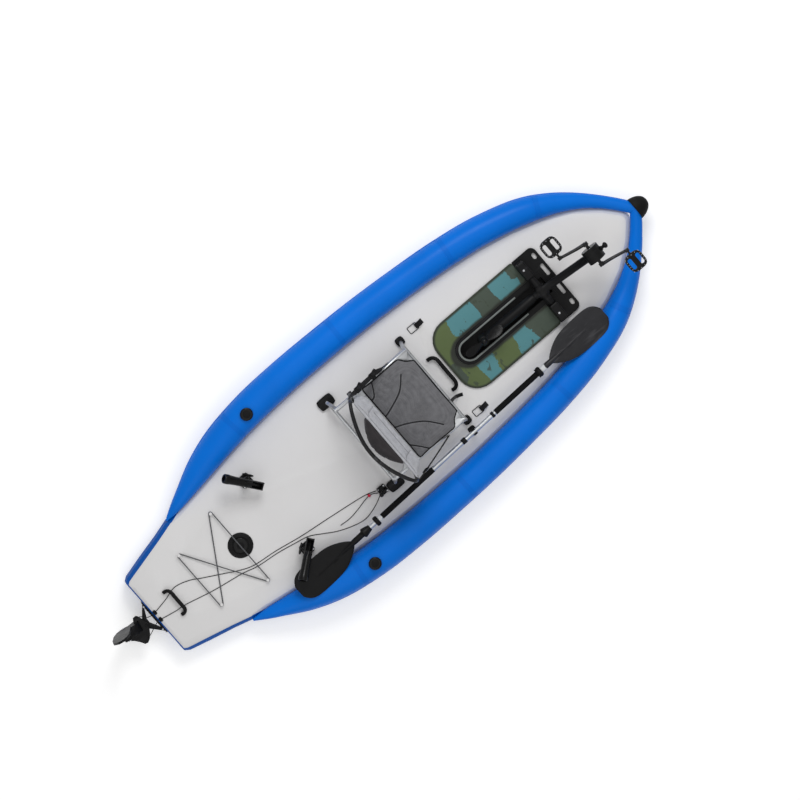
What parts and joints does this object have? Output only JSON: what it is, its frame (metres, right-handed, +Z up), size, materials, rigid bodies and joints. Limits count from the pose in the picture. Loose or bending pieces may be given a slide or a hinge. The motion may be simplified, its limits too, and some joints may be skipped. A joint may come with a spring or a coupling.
{
  "type": "inflatable pedal fishing boat",
  "caption": "Inflatable fishing boat: drop-stitch floor, side tubes, tilting pedal drive, folding seat, rudder, rod holders and paddle.",
  "frame": {"origin": "under the middle of the boat's box, on the ground", "axes": "+X to the bow, +Y to port, +Z up"},
  "size_m": [3.465, 1.1948, 0.6266],
  "materials": {
    "deck_vinyl": "coated fabric, light grey deck, white and blue sides",
    "tube_vinyl": "glossy blue coated fabric",
    "cord": "braided cord",
    "red_bead": "gloss",
    "stainless": "polished",
    "camouflage_foam": "camouflage pattern, matte",
    "grey_trim": "satin",
    "shaft_steel": "turned",
    "dark_aluminium": "black anodised",
    "frame_aluminium": "silver, satin anodised",
    "black_tube": "black powder coat",
    "seat_fabric": "woven, grey",
    "back_fabric": "woven, light grey",
    "dark_fabric": "webbing and mesh, near black",
    "paddle_aluminium": "silver, satin",
    "foam_grip": "foam sleeve",
    "soft_rubber": "moulded, satin",
    "black_plastic": "moulded, satin"
  },
  "bodies": {
    "hull": {"hull_floor": "deck_vinyl", "side_tube_port": "tube_vinyl", "side_tube_starboard": "tube_vinyl", "bow_cap": "soft_rubber", "floor_valve_body": "black_plastic", "bungee_cord": "cord", "stern_handle": "soft_rubber", "middle_handle": "soft_rubber", "drive_plate": "camouflage_foam", "well_liner": "black_plastic", "well_edge_trim": "grey_trim", "front_bracket": "black_plastic", "seat_frame": "frame_aluminium", "seat_cushion": "seat_fabric", "recline_strap_port": "dark_fabric", "recline_strap_starboard": "dark_fabric", "seat_strap_tail": "dark_fabric", "transom_bracket": "black_plastic", "steering_box": "black_plastic", "steering_line_starboard": "cord", "steering_line_port": "cord", "leash_cord": "cord", "leash_bead": "red_bead", "paddle_clip": "black_plastic", "rod_base_port": "black_plastic", "rod_base_starboard": "black_plastic"},
    "valve_cap_port": {"side_valve_cap_port": "black_plastic"},
    "valve_cap_starboard": {"side_valve_cap_starboard": "black_plastic"},
    "floor_cap": {"floor_valve_cap": "black_plastic"},
    "ring_port": {"tie_down_ring_port": "stainless"},
    "ring_starboard": {"tie_down_ring_starboard": "stainless"},
    "drive": {"drive_neck": "black_plastic", "drive_leg": "black_plastic", "crank_case_cover": "black_plastic", "lift_knob": "black_plastic"},
    "cranks": {"crank_set": "dark_aluminium"},
    "pedal_port": {"pedal_port": "black_plastic"},
    "pedal_starboard": {"pedal_starboard": "black_plastic"},
    "neck_shaft": {"neck_shaft": "shaft_steel"},
    "leg_shaft": {"leg_shaft": "shaft_steel"},
    "propeller": {"propeller_shaft": "shaft_steel", "propeller": "black_plastic"},
    "backrest": {"seat_back_frame": "black_tube", "seat_back_fabric": "back_fabric", "seat_back_pad": "dark_fabric"},
    "rudder_head": {"rudder_head": "black_plastic", "rudder_blade_pin": "stainless"},
    "rudder_blade": {"rudder_blade": "black_plastic"},
    "steering_lever": {"steering_lever": "black_plastic"},
    "paddle": {"paddle_shaft": "paddle_aluminium", "paddle_grip_bow": "foam_grip", "paddle_grip_stern": "foam_grip", "paddle_blade_bow": "black_plastic", "paddle_blade_stern": "black_plastic"},
    "rod_turntable_port": {"rod_rotor_port": "black_plastic"},
    "rod_turntable_starboard": {"rod_rotor_starboard": "black_plastic"},
    "rod_holder_port": {"rod_tube_port": "black_plastic"},
    "rod_holder_starboard": {"rod_tube_starboard": "black_plastic"}
  },
  "joints": [
    {"name": "side_valve_cap_port_lift", "type": "slide", "parent": "hull", "child": "valve_cap_port", "axis": [0, 0, 1], "range_m": [0, 0.04]},
    {"name": "side_valve_cap_starboard_lift", "type": "slide", "parent": "hull", "child": "valve_cap_starboard", "axis": [0, 0, 1], "range_m": [0, 0.04]},
    {"name": "floor_valve_cap_lift", "type": "slide", "parent": "hull", "child": "floor_cap", "axis": [0, 0, 1], "range_m": [0, 0.006]},
    {"name": "tie_down_ring_port_swing", "type": "hinge", "parent": "hull", "child": "ring_port", "pos_m": [0.4475, 0.27, 0.1378], "axis": [0, 1, 0], "range_deg": [0, 170]},
    {"name": "tie_down_ring_starboard_swing", "type": "hinge", "parent": "hull", "child": "ring_starboard", "pos_m": [0.4275, -0.265, 0.1378], "axis": [0, 1, 0], "range_deg": [0, 170]},
    {"name": "drive_tilt", "type": "hinge", "parent": "hull", "child": "drive", "pos_m": [1.0325, 0, 0.198], "axis": [0, -1, 0], "range_deg": [0, 86]},
    {"name": "crank_spin", "type": "hinge", "parent": "drive", "child": "cranks", "pos_m": [1.3375, 0, 0.388], "axis": [0, 1, 0], "continuous": true},
    {"name": "pedal_port_spin", "type": "hinge", "parent": "cranks", "child": "pedal_port", "pos_m": [1.1975, 0.165, 0.388], "axis": [0, 1, 0], "continuous": true},
    {"name": "pedal_starboard_spin", "type": "hinge", "parent": "cranks", "child": "pedal_starboard", "pos_m": [1.4775, -0.165, 0.388], "axis": [0, 1, 0], "continuous": true},
    {"name": "neck_shaft_spin", "type": "hinge", "parent": "drive", "child": "neck_shaft", "pos_m": [1.3375, 0, 0.388], "axis": [-0.8488, 0, -0.5287], "continuous": true},
    {"name": "leg_shaft_spin", "type": "hinge", "parent": "drive", "child": "leg_shaft", "pos_m": [1.0325, 0, 0.198], "axis": [-0.9983, 0, -0.0578], "continuous": true},
    {"name": "propeller_spin", "type": "hinge", "parent": "drive", "child": "propeller", "pos_m": [0.6525, 0, 0.176], "axis": [-0.0578, 0, 0.9983], "continuous": true},
    {"name": "backrest_recline", "type": "hinge", "parent": "hull", "child": "backrest", "pos_m": [-0.0325, 0, 0.325], "axis": [0, 1, 0], "range_deg": [-12, 60], "deforming": ["recline_strap_port", "recline_strap_starboard"]},
    {"name": "rudder_steer", "type": "hinge", "parent": "hull", "child": "rudder_head", "pos_m": [-1.5695, 0, 0], "axis": [0, 0, 1], "range_deg": [-25, 45]},
    {"name": "rudder_blade_kick", "type": "hinge", "parent": "rudder_head", "child": "rudder_blade", "pos_m": [-1.67244, 0.01815, 0.168], "axis": [-0.1736, -0.9848, 0], "range_deg": [0, 165]},
    {"name": "steering_lever_swing", "type": "hinge", "parent": "hull", "child": "steering_lever", "pos_m": [-0.2225, -0.252, 0.156], "axis": [0, 1, 0], "range_deg": [-36, 20]},
    {"name": "paddle_slide_out", "type": "slide", "parent": "hull", "child": "paddle", "axis": [0.9994, 0.0355, -0.0041], "range_m": [0, 0.2]},
    {"name": "rod_holder_port_turn", "type": "hinge", "parent": "hull", "child": "rod_turntable_port", "pos_m": [-0.7145, 0.235, 0], "axis": [0, 0, 1], "range_deg": [-90, 90]},
    {"name": "rod_holder_port_tilt", "type": "hinge", "parent": "rod_turntable_port", "child": "rod_holder_port", "pos_m": [-0.7145, 0.235, 0.194], "axis": [0.8192, 0.5736, 0], "range_deg": [-25, 30]},
    {"name": "rod_holder_starboard_turn", "type": "hinge", "parent": "hull", "child": "rod_turntable_starboard", "pos_m": [-0.7025, -0.23, 0], "axis": [0, 0, 1], "range_deg": [-40, 30]},
    {"name": "rod_holder_starboard_tilt", "type": "hinge", "parent": "rod_turntable_starboard", "child": "rod_holder_starboard", "pos_m": [-0.7025, -0.23, 0.194], "axis": [-0.6018, 0.7986, 0], "range_deg": [0, 50]}
  ],
  "couplings": [
    {"joint": "neck_shaft_spin", "follows": "crank_spin", "ratio": 3},
    {"joint": "leg_shaft_spin", "follows": "crank_spin", "ratio": 3},
    {"joint": "propeller_spin", "follows": "crank_spin", "ratio": 8},
    {"joint": "steering_lever_swing", "follows": "rudder_steer", "ratio": -0.8}
  ]
}
